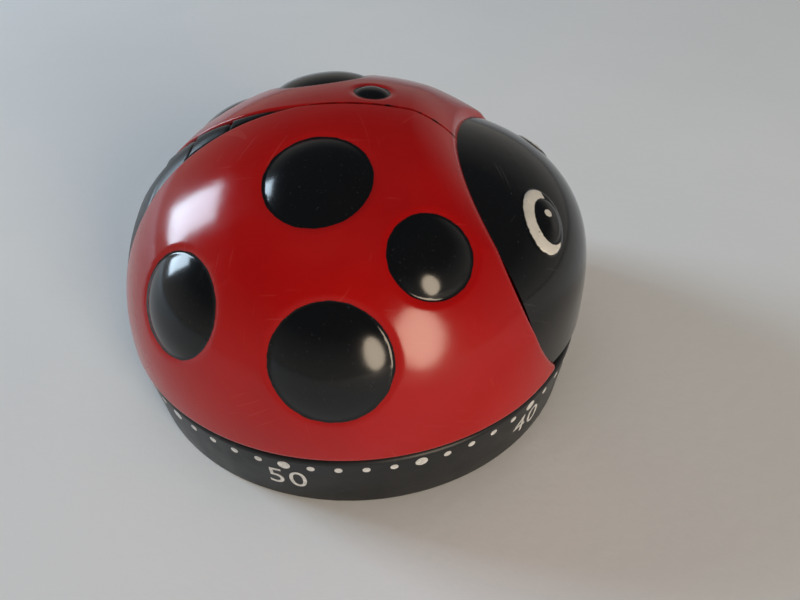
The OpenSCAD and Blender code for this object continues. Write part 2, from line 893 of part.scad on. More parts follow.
module pallet() {
    back = direction(balance_at, escape_at);
    pallet_z = escape_z - 1.3;
    color(steel)
    translate([balance_at[0], balance_at[1], pallet_z])
        difference() {
            union() {
                cylinder(r = 1.6, h = 0.8, $fn = 32);
                for (side = [-1, 1])
                    rotate([0, 0, back + side * (90 - pin_half_angle)]) {
                        translate([0, -0.5, 0]) cube([pallet_arm, 1, 0.8]);
                        translate([pallet_arm, 0, 0]) cylinder(r = 0.5, h = 0.8, $fn = 32);
                        translate([pallet_arm, 0, 0]) cylinder(r = pin_r, h = 2.3, $fn = 32);
                    }
            }
            translate([0, 0, -1]) cylinder(r = rod_r, h = 3, $fn = 32);
        }
}

module balance_bar() {
    color(brass)
    translate([balance_at[0], balance_at[1], bar_z])
        rotate([0, 0, balance_angle + 90])
        difference() {
            union() {
                cylinder(r = 1.8, h = 1, $fn = 32);
                translate([-5, -0.8, 0]) cube([10, 1.6, 1]);
                for (side = [-1, 1]) translate([side * 5, 0, 0]) cylinder(r = 1.2, h = 1, $fn = 32);
            }
            translate([0, 0, -1]) cylinder(r = rod_r, h = 3, $fn = 32);
        }
}

module balance_staff() {
    color(steel)
    translate([balance_at[0], balance_at[1], 0]) pivoted_rod();
}

// ---------- hammer ----------

module hammer_staff() {
    color(steel)
    translate([hammer_at[0], hammer_at[1], hammer_z - 0.4])
        cylinder(r = staff_r, h = upper_top + 0.6 - hammer_z, $fn = 32);
}

module hammer() {
    head_at = polar(bell_r + 0.5 + hammer_head_r, hammer_head_angle);
    reach = norm(head_at - hammer_at);
    color(steel)
    translate([hammer_at[0], hammer_at[1], hammer_z])
        rotate([0, 0, direction(hammer_at, head_at)])
        difference() {
            union() {
                cylinder(r = 1.7, h = 1.2, $fn = 32);
                translate([0, -0.6, 0]) cube([reach, 1.2, 1.2]);
                translate([reach, 0, -1.2]) cylinder(r = hammer_head_r, h = 3.6, $fn = 48);
            }
            translate([0, 0, -2]) cylinder(r = staff_r, h = 6, $fn = 32);
        }
}

module hammer_tail() {
    tip_at = polar(nose_r - 0.6, hammer_angle);
    reach = norm(tip_at - hammer_at);
    color(steel)
    translate([hammer_at[0], hammer_at[1], cam_z + 0.1])
        rotate([0, 0, hammer_angle + 180])
        difference() {
            union() {
                cylinder(r = 1.7, h = 0.8, $fn = 32);
                linear_extrude(0.8)
                    polygon([[0, -0.8], [reach - 2.5, -0.5], [reach, -0.2], [reach, 0.2],
                             [reach - 2.5, 0.5], [0, 0.8]]);
            }
            translate([0, 0, -1]) cylinder(r = staff_r, h = 3, $fn = 32);
        }
}

module hammer_spring() {
    color(steel)
    translate([hammer_at[0], hammer_at[1], escape_z])
        polyhedron(points = coil_points, faces = coil_faces);
}

wing_case();
head();
abdomen();
body_shell();
base_ring();
bottom_cover();
cover_screws();
bell();
bell_screw();
lower_plate();
plate_screws();
upper_plate();
pillars();
pillar_nuts();
mainspring();
spring_post();
main_arbor();
drive_hub();
hub_screws();
shell_screws();
trip_cam();
ratchet_wheel();
main_wheel();
click_stud();
click();
click_spring();
second_wheel();
second_pinion();
third_wheel();
third_pinion();
escape_wheel();
escape_pinion();
pallet();
balance_bar();
balance_staff();
hammer();
hammer_tail();
hammer_staff();
hammer_spring();
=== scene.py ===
# The looks of a wind-up kitchen timer in the shape of a ladybird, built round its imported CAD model.
# Shapes are worked out in millimetres, in the CAD model's frame, and become metres when a mesh is made.
import math

import bmesh
import bpy
import numpy as np
from mathutils import Matrix, Vector


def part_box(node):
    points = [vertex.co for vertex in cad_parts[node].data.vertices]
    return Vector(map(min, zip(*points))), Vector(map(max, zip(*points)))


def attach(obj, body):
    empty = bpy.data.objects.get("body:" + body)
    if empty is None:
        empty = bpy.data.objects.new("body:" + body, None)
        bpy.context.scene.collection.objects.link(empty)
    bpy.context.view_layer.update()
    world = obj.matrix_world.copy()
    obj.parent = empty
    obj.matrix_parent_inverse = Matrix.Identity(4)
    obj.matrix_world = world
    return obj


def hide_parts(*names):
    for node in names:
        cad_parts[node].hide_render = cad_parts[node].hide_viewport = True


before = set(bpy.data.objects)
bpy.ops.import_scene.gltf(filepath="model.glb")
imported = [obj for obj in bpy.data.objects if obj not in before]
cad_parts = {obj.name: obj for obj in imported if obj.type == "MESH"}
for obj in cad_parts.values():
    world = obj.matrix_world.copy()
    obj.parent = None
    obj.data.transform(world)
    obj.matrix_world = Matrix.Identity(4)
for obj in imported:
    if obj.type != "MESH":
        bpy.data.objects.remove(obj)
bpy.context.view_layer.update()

MM = 0.001
UP = np.array([0.0, 0.0, 1.0])
FAR = 1e3  # stands for a distance beyond every edge, in millimetres
REACH = 60.0  # longer than any line from inside a dome to its surface, in millimetres
COARSE = 4  # the inner faces of a shell have one vertex for this many outer ones

# ---------------------------------------------------------------- design values, in millimetres
# Domes of the wing case and the head, as in the CAD model
RIB_H = 2.7  # the stop rib stands this high above the deck
SKIN_INSET = 2.3
RING_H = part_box("base_ring")[1].z / MM - RIB_H
SHELL_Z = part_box("wing_case")[0].z / MM
DOME_R = -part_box("body_shell")[0].y / MM + SKIN_INSET
DOME_H = 33.2
DOME_POWER = 2.16
HEAD_X = 7.5
HEAD_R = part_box("head")[1].x / MM - HEAD_X
HEAD_H = 26.9
HEAD_POWER = 3.85

# Where the head meets the wing case: x as a function of z
NECK_X = 22.73
NECK_Z = 30.0
NECK_LEAN = -0.4896
NECK_BOW = -0.00099
NECK_TUCK = 0.45  # the head's rim lies this far under the neck, above TOP_Z
TOP_Z = 26.0
TUCK_RUN = 12.0

# The slot that shows the abdomen: half widths at distances behind SLOT_START, which is behind the axis
SLOT_START = 7.0
SLOT_FADE = 4.0  # over this run the slot's edge turns into the seam
SLOT_X = [0.0, 9.0, 14.0, 19.0, 22.5, 26.0, 29.5]
SLOT_HALF = [0.0, 1.5, 2.8, 4.5, 6.6, 9.3, 11.1]

# Wing case: wall, edge roundings, and the lobes that sink towards the head
WING_T = 2.1
SEAM_R = 0.4
SEAM_DEPTH = 1.1
SEAM_W = (0.08, 0.3)  # half width of the seam groove at its floor and at its top
SEAM_SHADE_HALF = 0.27  # half width of the black painted shade along its floor
SLOT_EDGE_DROP = 0.55
WING_EDGE_R = 1.0
NECK_EDGE_R = 1.0
NECK_EDGE_MORE = 1.0  # the neck's rounding grows by this, from TOP_Z up
NECK_EDGE_RUN = 14.0
NECK_ROWS_R = 1.4  # rows are close together over this length at the neck
LIP = 0.7  # the wing case stands this proud of the head
LOBE_RUN = 8.0
LOBE_POWER = 1.3
HEAD_DEPTH = 6.0  # the head is never deeper than this under the wing case
TAIL_X = -34.9
TAIL_ROWS = 27 * COARSE
FRONT_ROWS = 25 * COARSE
WING_COLS = 54 * COARSE

# Spots: angle round the axis, distance from it, radius
SPOTS = [
    (-99.8, 15.1, 7.1),
    (-61.8, 25.8, 5.6),
    (-90.3, 33.1, 7.8),
    (-131.6, 32.2, 7.1),
    (53, 5.8, 2.5),
    (109, 16.4, 7.2),
    (143, 27.0, 6.8),
    (65, 27.0, 5.6),
    (92, 33.1, 7.8),
]
SPOT_RISE = 0.7
SPOT_FULL_R = 5.0  # smaller spots rise less
SPOT_POWER = 2.5
SPOT_DEPTH = 1.2  # a spot reaches this many radii down into the dome
SPOT_SINK = 0.32
MOAT_W = 1.2
PAINT_OVER = 0.2

# Head: the grid spreads from the line HEAD_FROM to HEAD_TO
HEAD_T = 1.75
HEAD_EDGE_R = 0.9
HEAD_COLS = 112 * COARSE
HEAD_RINGS = 24 * COARSE
HEAD_FROM = np.array([14.0, 0.0, 15.0])
HEAD_TO = np.array([33.0, 0.0, 27.0])
HEAD_AXIS = (HEAD_TO - HEAD_FROM) / np.linalg.norm(HEAD_TO - HEAD_FROM)
HEAD_SIDE = np.array([0.0, 1.0, 0.0])
HEAD_UP = -np.cross(HEAD_SIDE, HEAD_AXIS)
RIM_TILT = 2.2  # radians from HEAD_AXIS, beyond the rim everywhere

# Eyes: angle round the head's axis, height and side; places and half widths on the eye itself
EYES = [(-28.1, 32.1, -1), (36.0, 28.3, 1)]
EYE_TILT = 48.9
EYE_SIZE = (5.5, 3.6)
EYE_RISE = 0.3
EYE_SLOPE_W = 0.6
EYE_DEPTH = 2.5
WHITE_SIZE = (5.15, 3.35)
WHITE_END = (0.24, 1.75)
PUPIL_AT = (0.05, 0.55)
PUPIL_SIZE = (3.4, 2.2)
PUPIL_RISE = 0.4
DARK_AT = (0.05, 0.85)
DARK_SIZE = (3.65, 2.6)
GLINT_AT = (0.85, 0.4)
GLINT_R = 0.58

# Abdomen plates: x of the front of each, sizes
SEGMENT_FRONT = [-6.5, -16.3, -22.0, -27.2, -31.8]
SEGMENT_ROWS = 30
ROW_GAP = 0.008
SEGMENT_EDGE_R = 0.3
SEGMENT_SIDE = 0.35
SEGMENT_DEPTH = 0.15
SEGMENT_CROWN = 0.5
SEGMENT_STEP = 0.3
SEGMENT_CREASE = 0.7
CREASE_W = 1.0
SEGMENT_BOW = 0.4
SEGMENT_T = 1.6
ABDOMEN_COLS = 48

# Base ring, with its deck, screw bosses and stop rib
FOOT_R = 35.0
FOOT_EDGE_R = 0.5
RING_R = 36.0
RING_EDGE_R = 0.75
RING_EDGE_IN = 0.85
CONE_H = RING_H - 2.2  # the outer face widens from FOOT_R to RING_R over this height
CONE_LEAN = 6
RING_IN_R = 31.8
DECK_IN_R = 24.0
DECK_T = 1.8
COVER_SEAT_R = 32.5
COVER_SEAT_Z = 1.62
BOSS_ANGLES = (30, 150, 270)
BOSS_AT = 28.5
BOSS_R = 2.6
BOSS_BORE_R = 1.2
BOSS_SUNK = 0.3
RIB_R = (29.6, 31.6)
RIB_ANGLE = 21.0
RIB_HALF = 1.45
RIB_SUNK = 0.5
RING_STEPS = 384

# Dial print: dots and numbers, and the minute that faces the front at rest
REST_MINUTE = 33
DOT_Z = 8.9
DOT_R = 0.55
BIG_DOT_R = 0.88
DIGIT_Z = 3.6
DIGIT_H = 3.8
DIGIT_W = 2.6
DIGIT_GAP = 0.4
DIGIT_SPACE = 1.12
DIGIT_OFFSET = -0.003  # thins the strokes
PRINT_T = 0.05
PRINT_SUNK = 0.15

# Skin of the body shell: which of its points sink with the wing case, and by how much more
SKIN_DEPTH = 4.2
SKIN_REACH = 12.0
SKIN_PAST_NECK = 1.5
SKIN_FOOT = 1.0
SKIN_CLEAR = 0.15

# Samples along a curve from which evenly spaced places are picked
SLOT_SAMPLES = 2000
WING_SAMPLES = 500
RIM_SAMPLES = 1200
HEAD_SAMPLES = 300

# Camera: place, direction, roll in degrees, lens and sensor width
CAMERA_AT = (11.13, -95.01, 91.08)
CAMERA_WAY = (-0.0315, 0.7517, -0.6588)
CAMERA_ROLL = -1.02
CAMERA_LENS = 33.23
SENSOR = 36.0
FLOOR_HALF = 3.0  # metres


# ---------------------------------------------------------------- shape functions
def neck_x(z):
    """X of the edge between wing case and head at height z."""
    return NECK_X + NECK_LEAN * (z - NECK_Z) + NECK_BOW * (z - NECK_Z) ** 2


def neck_slope(z):
    """How fast neck_x changes with height."""
    return NECK_LEAN + 2 * NECK_BOW * (z - NECK_Z)


def slot_half(x):
    """Half width of the slot at x: a smooth curve through SLOT_HALF."""
    d = np.clip(-SLOT_START - np.asarray(x, float), 0, SLOT_X[-1])
    slope = np.gradient(SLOT_HALF, SLOT_X)
    k = np.clip(np.searchsorted(SLOT_X, d, side="right") - 1, 0, len(SLOT_X) - 2)
    xs, ys = np.array(SLOT_X), np.array(SLOT_HALF)
    h = xs[k + 1] - xs[k]
    t = (d - xs[k]) / h
    a = ys[k] * (1 + 2 * t) * (1 - t) ** 2 + ys[k + 1] * t**2 * (3 - 2 * t)
    b = slope[k] * h * t * (1 - t) ** 2 - slope[k + 1] * h * t**2 * (1 - t)
    return a + b


def dome_value(p):
    """Below 0 inside the wing case's dome."""
    rho2 = (p[..., 0] ** 2 + p[..., 1] ** 2) / DOME_R**2
    return rho2 + (np.maximum(p[..., 2] - SHELL_Z, 0) / DOME_H) ** DOME_POWER - 1


def head_value(p):
    """Below 0 inside the head's dome."""
    rho2 = ((p[..., 0] - HEAD_X) ** 2 + p[..., 1] ** 2) / HEAD_R**2
    return rho2 + (np.maximum(p[..., 2] - SHELL_Z, 0) / HEAD_H) ** HEAD_POWER - 1


def dome_top(x, y):
    """Height of the wing case's dome above (x, y)."""
    inside = np.maximum(1 - (x**2 + y**2) / DOME_R**2, 0)
    return SHELL_Z + DOME_H * inside ** (1 / DOME_POWER)


def normals(p, x0, radius, height, power):
    """Outward unit normals of a dome."""
    z = np.maximum(p[..., 2] - SHELL_Z, 0)
    g = np.stack(
        [
            2 * (p[..., 0] - x0) / radius**2,
            2 * p[..., 1] / radius**2,
            power * z ** (power - 1) / height**power,
        ],
        axis=-1,
    )
    return g / np.linalg.norm(g, axis=-1, keepdims=True)


def dome_normals(p):
    return normals(p, 0, DOME_R, DOME_H, DOME_POWER)


def head_normals(p):
    return normals(p, HEAD_X, HEAD_R, HEAD_H, HEAD_POWER)


def bisect(inside, low, high, steps=44):
    """The place between low and high, element by element, where inside(t) turns false."""
    low, high = low.copy(), high.copy()
    for _ in range(steps):
        mid = (low + high) / 2
        is_in = inside(mid)
        low = np.where(is_in, mid, low)
        high = np.where(is_in, high, mid)
    return (low + high) / 2


def edge_distance(g, grad, n):
    """Distance along a surface with normals n from the edge where g, whose gradient is grad, is 0."""
    least = 0.2  # keeps the distance finite where the surface hardly crosses the edge
    along = grad - n * np.sum(n * grad, axis=-1, keepdims=True)
    return g / np.maximum(np.linalg.norm(along, axis=-1), least)


def rounding(distance, r):
    """How far a surface drops at a distance from an edge that is rounded with radius r."""
    d = np.clip(distance, 0, r)
    return r - np.sqrt(np.maximum(r**2 - (r - d) ** 2, 0))


def edge_steps(r, count):
    """Distances from a rounded edge, closest together at the edge itself."""
    return r * (1 - np.cos(np.linspace(0, math.pi / 2, count + 1)[:-1]))


def spread(length, count, start_r, end_r, start_count=6, end_count=8):
    """count places along a length, gathered at its two ends for their roundings."""
    start = edge_steps(start_r, start_count)
    end = length - edge_steps(end_r, end_count)[::-1]
    middle = np.linspace(start_r, length - end_r, count - start_count - end_count)
    places = np.concatenate([start, middle, end])
    return places if length > 3 * (start_r + end_r) else np.linspace(0, length, count)


def smooth(t):
    """A soft step from 0 to 1 as t goes from 0 to 1."""
    t = np.clip(t, 0, 1)
    return t * t * (3 - 2 * t)


def lengths(points):
    """Length from the first point of each line of points to each of its points."""
    steps = np.linalg.norm(np.diff(points, axis=-2), axis=-1)
    start = np.zeros((*steps.shape[:-1], 1))
    return np.concatenate([start, np.cumsum(steps, axis=-1)], axis=-1)


# ---------------------------------------------------------------- meshes
def mesh_object(name, points, faces, sharp, attributes=None):
    """An object from points in millimetres, with edges over sharp degrees. Unused points go."""
    points = np.asarray(points, float).reshape(-1, 3)
    used = np.unique(np.concatenate([np.ravel(f) for f in faces]))
    place = np.zeros(len(points), int)
    place[used] = np.arange(len(used))
    mesh = bpy.data.meshes.new(name)
    mesh.from_pydata((points[used] * MM).tolist(), [], [place[list(f)].tolist() for f in faces])
    for key, values in (attributes or {}).items():
        layer = mesh.attributes.new(key, "FLOAT", "POINT")
        layer.data.foreach_set("value", np.asarray(values, np.float32)[used])
    bm = bmesh.new()
    bm.from_mesh(mesh)
    bmesh.ops.recalc_face_normals(bm, faces=bm.faces)
    bm.to_mesh(mesh)
    bm.free()
    mesh.shade_smooth()
    mesh.set_sharp_from_angle(angle=math.radians(sharp))
    obj = bpy.data.objects.new(name, mesh)
    bpy.context.scene.collection.objects.link(obj)
    return obj


def quads(index):
    """Faces of a grid of vertex numbers."""
    a, b, c, d = index[:-1, :-1], index[:-1, 1:], index[1:, 1:], index[1:, :-1]
    return np.stack([a, b, c, d], axis=-1).reshape(-1, 4).tolist()


def stitch(fine, coarse):
    """Faces between a closed loop of vertices and one with a vertex for each COARSE of them."""
    faces = []
    count = len(coarse)
    half = COARSE // 2
    for k in range(count):
        c0, c1 = coarse[k], coarse[(k + 1) % count]
        for step in range(COARSE):
            f0 = fine[k * COARSE + step]
            f1 = fine[(k * COARSE + step + 1) % len(fine)]
            faces.append((f0, f1, c0 if step < half else c1))
        faces.append((fine[k * COARSE + half], c1, c0))
    return faces


def put(obj, body, slot, material, *nodes):
    """Gives a piece its material and body, and hides the CAD nodes that it stands for; slot is not used.
    """
    obj.data.materials.clear()
    obj.data.materials.append(material)
    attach(obj, body)
    if nodes:
        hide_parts(*nodes)
    return obj


# ---------------------------------------------------------------- materials
SCRATCH_TURNS = [(0.2, 0.9, 0.5), (1.1, -0.7, 1.6), (0.6, 0.3, 2.6)]


def nodes_of(name):
    """A new material with its node tree and its shader."""
    material = bpy.data.materials.new(name)
    material.use_nodes = True
    tree = material.node_tree
    shader = tree.nodes["Principled BSDF"]
    return material, tree, shader


def add(tree, kind, settings=None, **inputs):
    """A node with its settings and inputs; an input that is a socket is linked."""
    node = tree.nodes.new(kind)
    for key, value in (settings or {}).items():
        setattr(node, key, value)
    for key, value in inputs.items():
        socket = node.inputs[int(key[1:])] if key[0] == "_" else node.inputs[key]
        if isinstance(value, bpy.types.NodeSocket):
            tree.links.new(value, socket)
        else:
            socket.default_value = value
    return node


def place_of(tree, stretch=(1, 1, 1), turn=(0, 0, 0)):
    """Object coordinates in metres, for a pattern that is stretched along turned axes."""
    where = add(tree, "ShaderNodeTexCoord").outputs["Object"]
    mapping = add(tree, "ShaderNodeMapping", {"vector_type": "TEXTURE"}, _0=where)
    mapping.inputs["Scale"].default_value = stretch
    mapping.inputs["Rotation"].default_value = turn
    return mapping.outputs[0]


def noise(tree, scale, where=None, detail=4.0):
    """Cloudy noise with scale cells in a metre."""
    where = where or place_of(tree)
    node = add(tree, "ShaderNodeTexNoise", Vector=where, Scale=scale, Detail=detail, Roughness=0.55)
    return node.outputs["Fac"]


def remap(tree, value, low, high, to_low=0.0, to_high=1.0):
    """The range low to high stretched to to_low to to_high, and held at its ends."""
    node = add(tree, "ShaderNodeMapRange", {"clamp": True}, Value=value)
    for key, number in zip(("From Min", "From Max", "To Min", "To Max"), (low, high, to_low, to_high)):
        node.inputs[key].default_value = number
    return node.outputs["Result"]


def calc(tree, operation, a, b=0.0):
    return add(tree, "ShaderNodeMath", {"operation": operation}, _0=a, _1=b).outputs[0]


def blend_colour(tree, factor, a, b):
    node = add(tree, "ShaderNodeMix", {"data_type": "RGBA"})
    for socket, value in zip((node.inputs[0], node.inputs[6], node.inputs[7]), (factor, a, b)):
        if isinstance(value, bpy.types.NodeSocket):
            tree.links.new(value, socket)
        else:
            socket.default_value = (*value, 1.0) if isinstance(value, tuple) else value
    return node.outputs[2]


def attribute(tree, name):
    return add(tree, "ShaderNodeAttribute", {"attribute_name": name}).outputs["Fac"]


def scratches(tree, amount):
    """Thin hairline scratches in a few directions, as a mask of 0 to 1."""
    total = None
    for turn in SCRATCH_TURNS:
        line = noise(tree, 2600, place_of(tree, (1, 34, 20), turn), detail=0.0)
        patch = noise(tree, 90, place_of(tree, turn=turn), detail=1.0)
        fine = remap(tree, line, 0.745, 0.775)
        mask = calc(tree, "MULTIPLY", fine, remap(tree, patch, 0.54, 0.62, 0, amount))
        total = mask if total is None else calc(tree, "MAXIMUM", total, mask)
    return total


def bump(tree, height, strength, distance):
    node = add(tree, "ShaderNodeBump", Height=height)
    node.inputs["Strength"].default_value = strength
    node.inputs["Distance"].default_value = distance
    return node.outputs["Normal"]


def link(tree, shader, **outputs):
    """Links outputs to the shader's inputs; an underscore stands for a space in an input's name."""
    for key, value in outputs.items():
        tree.links.new(value, shader.inputs[key.replace("_", " ")])


def wing_material():
    """Glossy red moulded plastic with black painted spots, and black painted shade along the seam groove.
    """
    material, tree, shader = nodes_of("red_gloss_wing")
    wobble = remap(tree, noise(tree, 600, detail=2.0), 0.3, 0.7, -0.06, 0.06)
    # the black mask holds the spots' paint and the painted shade along the seam groove
    distance = calc(tree, "ADD", attribute(tree, "paint_and_shade_distance"), wobble)
    paint = remap(tree, distance, -0.06, 0.06, 1.0, 0.0)
    tone = remap(tree, noise(tree, 45), 0.35, 0.65)
    red = blend_colour(tree, tone, (0.355, 0.0025, 0.0025), (0.42, 0.0045, 0.0035))
    scratch = scratches(tree, 0.2)
    red = blend_colour(tree, calc(tree, "MULTIPLY", scratch, 0.35), red, (0.75, 0.16, 0.13))
    dust = remap(tree, noise(tree, 2600, detail=1.0), 0.70, 0.76, 0, 0.10)
    black = blend_colour(tree, dust, (0.004, 0.0045, 0.0055), (0.16, 0.16, 0.17))
    link(tree, shader, Base_Color=blend_colour(tree, paint, red, black))
    haze = remap(tree, noise(tree, 130), 0.3, 0.75, 0.13, 0.21)
    rough = calc(tree, "ADD", haze, calc(tree, "MULTIPLY", scratch, 0.25))
    link(tree, shader, Roughness=calc(tree, "SUBTRACT", rough, calc(tree, "MULTIPLY", paint, 0.01)))
    skin = calc(tree, "ADD", noise(tree, 320, detail=1.0), calc(tree, "MULTIPLY", scratch, -0.3))
    edge = remap(tree, distance, -0.12, 0.12, 1.0, 0.0)
    skin = calc(tree, "ADD", skin, calc(tree, "MULTIPLY", edge, 0.6))
    link(tree, shader, Normal=bump(tree, skin, 0.5, 0.00004))
    shader.inputs["Specular IOR Level"].default_value = 0.42
    return material


def head_material():
    """Glossy black plastic with the printed white of the eyes."""
    material, tree, shader = nodes_of("black_gloss_head")
    wobble = remap(tree, noise(tree, 1500, detail=2.0), 0.3, 0.7, -0.04, 0.04)
    distance = attribute(tree, "white_distance")
    white = remap(tree, calc(tree, "ADD", distance, wobble), -0.05, 0.05, 1.0, 0.0)
    chips = remap(tree, noise(tree, 1300, detail=1.0), 0.71, 0.73)
    rim = remap(tree, distance, -0.7, -0.1)
    chipped = calc(tree, "MULTIPLY", chips, rim)
    white = calc(tree, "MULTIPLY", white, calc(tree, "SUBTRACT", 1.0, chipped))
    dust = remap(tree, noise(tree, 2400, detail=1.0), 0.70, 0.77, 0, 0.12)
    black = blend_colour(tree, dust, (0.0045, 0.005, 0.006), (0.15, 0.15, 0.16))
    scratch = scratches(tree, 0.5)
    black = blend_colour(tree, calc(tree, "MULTIPLY", scratch, 0.25), black, (0.16, 0.16, 0.16))
    cream = remap(tree, noise(tree, 500), 0.3, 0.7)
    cream = blend_colour(tree, cream, (0.60, 0.59, 0.55), (0.72, 0.71, 0.67))
    link(tree, shader, Base_Color=blend_colour(tree, white, black, cream))
    haze = remap(tree, noise(tree, 140), 0.3, 0.75, 0.09, 0.17)
    rough = calc(tree, "ADD", haze, calc(tree, "MULTIPLY", scratch, 0.2))
    link(tree, shader, Roughness=calc(tree, "ADD", rough, calc(tree, "MULTIPLY", white, 0.12)))
    skin = calc(tree, "ADD", noise(tree, 300, detail=1.0), calc(tree, "MULTIPLY", white, 0.6))
    link(tree, shader, Normal=bump(tree, skin, 0.5, 0.00004))
    shader.inputs["Specular IOR Level"].default_value = 0.5
    return material


def plastic_material(name, dark, light, rough_low, rough_high, grain, gloss=0.5):
    """Moulded plastic with a fine grain and a little wear."""
    material, tree, shader = nodes_of(name)
    tone = remap(tree, noise(tree, 70), 0.3, 0.7)
    colour = blend_colour(tree, tone, dark, light)
    scratch = scratches(tree, 0.5)
    pale = tuple(min(1.0, c * 3 + 0.03) for c in light)
    colour = blend_colour(tree, calc(tree, "MULTIPLY", scratch, 0.4), colour, pale)
    link(tree, shader, Base_Color=colour)
    link(tree, shader, Roughness=remap(tree, noise(tree, 220), 0.3, 0.7, rough_low, rough_high))
    link(tree, shader, Normal=bump(tree, noise(tree, grain, detail=2.0), 0.35, 0.00005))
    shader.inputs["Specular IOR Level"].default_value = gloss
    return material


def metal_material(name, dark, light, rough_low, rough_high, brush):
    """Metal with brushed or turned marks and slight tarnish."""
    material, tree, shader = nodes_of(name)
    tarnish = remap(tree, noise(tree, 180, detail=5.0), 0.35, 0.7)
    link(tree, shader, Base_Color=blend_colour(tree, tarnish, dark, light))
    marks = noise(tree, 900, place_of(tree, brush), detail=3.0)
    link(tree, shader, Roughness=remap(tree, marks, 0.3, 0.7, rough_low, rough_high))
    link(tree, shader, Normal=bump(tree, marks, 0.25, 0.00003))
    shader.inputs["Metallic"].default_value = 1.0
    return material


def print_material():
    """Off-white pad printing, a little thin in places."""
    material, tree, shader = nodes_of("print_white")
    thin = remap(tree, noise(tree, 1400, detail=3.0), 0.35, 0.7)
    link(tree, shader, Base_Color=blend_colour(tree, thin, (0.52, 0.53, 0.53), (0.78, 0.79, 0.79)))
    link(tree, shader, Roughness=remap(tree, noise(tree, 400), 0.3, 0.7, 0.4, 0.6))
    link(tree, shader, Normal=bump(tree, noise(tree, 1800, detail=2.0), 0.3, 0.00003))
    return material


def floor_material():
    """Pale matt card with a faint grain."""
    material, tree, shader = nodes_of("floor_pale")
    tone = remap(tree, noise(tree, 12, detail=5.0), 0.3, 0.7)
    link(tree, shader, Base_Color=blend_colour(tree, tone, (0.83, 0.84, 0.85), (0.88, 0.885, 0.89)))
    link(tree, shader, Roughness=remap(tree, noise(tree, 60), 0.3, 0.7, 0.75, 0.9))
    link(tree, shader, Normal=bump(tree, noise(tree, 420, detail=2.0), 0.25, 0.0002))
    shader.inputs["Specular IOR Level"].default_value = 0.2
    return material


SLOTS = {
    "red_gloss": wing_material(),
    "black_gloss": plastic_material(
        "black_gloss", (0.005, 0.005, 0.006), (0.011, 0.011, 0.012), 0.10, 0.2, 700
    ),
    "dark_satin": plastic_material(
        "dark_satin", (0.008, 0.0095, 0.011), (0.014, 0.016, 0.019), 0.30, 0.44, 1500, 0.35
    ),
    "dark_inner": plastic_material(
        "dark_inner", (0.018, 0.018, 0.02), (0.03, 0.03, 0.033), 0.4, 0.55, 1200
    ),
    "print_white": print_material(),
    "brass": metal_material("brass", (0.50, 0.33, 0.11), (0.68, 0.47, 0.19), 0.2, 0.42, (1, 16, 1)),
    "steel": metal_material("steel", (0.42, 0.42, 0.43), (0.6, 0.6, 0.61), 0.18, 0.36, (1, 1, 12)),
    "spring_steel": metal_material(
        "spring_steel", (0.16, 0.17, 0.22), (0.28, 0.29, 0.34), 0.2, 0.35, (1, 1, 20)
    ),
    "bell_steel": metal_material(
        "bell_steel", (0.5, 0.5, 0.5), (0.68, 0.68, 0.68), 0.1, 0.25, (1, 10, 1)
    ),
}
# two pieces of the slot black_gloss have a finish of their own
PLATE_BLACK = plastic_material(
    "black_plates", (0.006, 0.007, 0.008), (0.010, 0.011, 0.013), 0.30, 0.42, 1500, 0.3
)
HEAD_BLACK = head_material()


# ---------------------------------------------------------------- wing case
def wing_rows():
    """Position and lean of each row of the wing case, from the tail to the neck."""
    x = np.linspace(TAIL_X, -SLOT_START, SLOT_SAMPLES)
    run = lengths(np.stack([x, slot_half(x), dome_top(x, slot_half(x))], axis=1))
    tail = np.interp(np.linspace(0, run[-1], TAIL_ROWS + 1), run, x)
    front_end = neck_x(SHELL_Z)
    reach = front_end + SLOT_START
    places = spread(reach, FRONT_ROWS + 1, 0.0, NECK_ROWS_R, start_count=0)
    front = -SLOT_START + places[1:]
    front[-1] = front_end
    row_x = np.concatenate([tail, front])
    lean = np.clip((row_x + SLOT_START) / reach, 0, 1)
    return row_x, lean


def wing_half():
    """Grid of points on one half of the dome, rows from tail to neck, columns from seam to lower edge."""
    row_x, lean = wing_rows()
    half = slot_half(row_x)
    start = np.arctan2(dome_top(row_x, half) - SHELL_Z, half)
    start[TAIL_ROWS:] = math.pi / 2

    def solve(angle):
        cos, sin = np.cos(angle), np.sin(angle)

        def at(t):
            z = SHELL_Z + t * sin
            x = row_x[:, None] + lean[:, None] * (neck_x(z) - neck_x(SHELL_Z))
            return np.stack([x, t * cos, z], axis=-1)

        reach = bisect(lambda t: dome_value(at(t)) < 0, np.zeros_like(angle), np.full_like(angle, REACH))
        return at(reach)

    dense = start[:, None] * np.linspace(1, 0, WING_SAMPLES)[None, :]
    picked = np.stack(
        [
            np.interp(spread(run[-1], WING_COLS + 1, SEAM_R, WING_EDGE_R), run, angles)
            for run, angles in zip(lengths(solve(dense)), dense)
        ]
    )
    picked[:, 0] = start
    picked[:, -1] = 0
    grid = solve(picked)
    grid[TAIL_ROWS:, 0, 1] = 0
    return grid


def spot_height(p):
    """How far the spots raise or sink the surface at p, and the distance to the nearest paint edge."""
    height = np.zeros(p.shape[:-1])
    paint = np.full(p.shape[:-1], FAR)
    for angle, reach, radius in SPOTS:
        a = math.radians(angle)
        x, y = reach * math.cos(a), reach * math.sin(a)
        centre = np.array([x, y, float(dome_top(x, y))])
        n = dome_normals(centre)
        rel = p - centre
        above = np.sum(rel * n, axis=-1)
        d = np.linalg.norm(rel - n * above[..., None], axis=-1)
        d = np.where(above < -SPOT_DEPTH * radius, FAR, d)
        rise = SPOT_RISE * min(1, radius / SPOT_FULL_R)
        inside = (rise + SPOT_SINK) * (1 - np.minimum(d / radius, 1) ** SPOT_POWER) - SPOT_SINK
        moat = -SPOT_SINK * np.clip(1 - (d - radius) / MOAT_W, 0, 1) ** 2
        height += np.where(d < radius, inside, moat)
        paint = np.minimum(paint, d - radius - PAINT_OVER)
    return height, paint


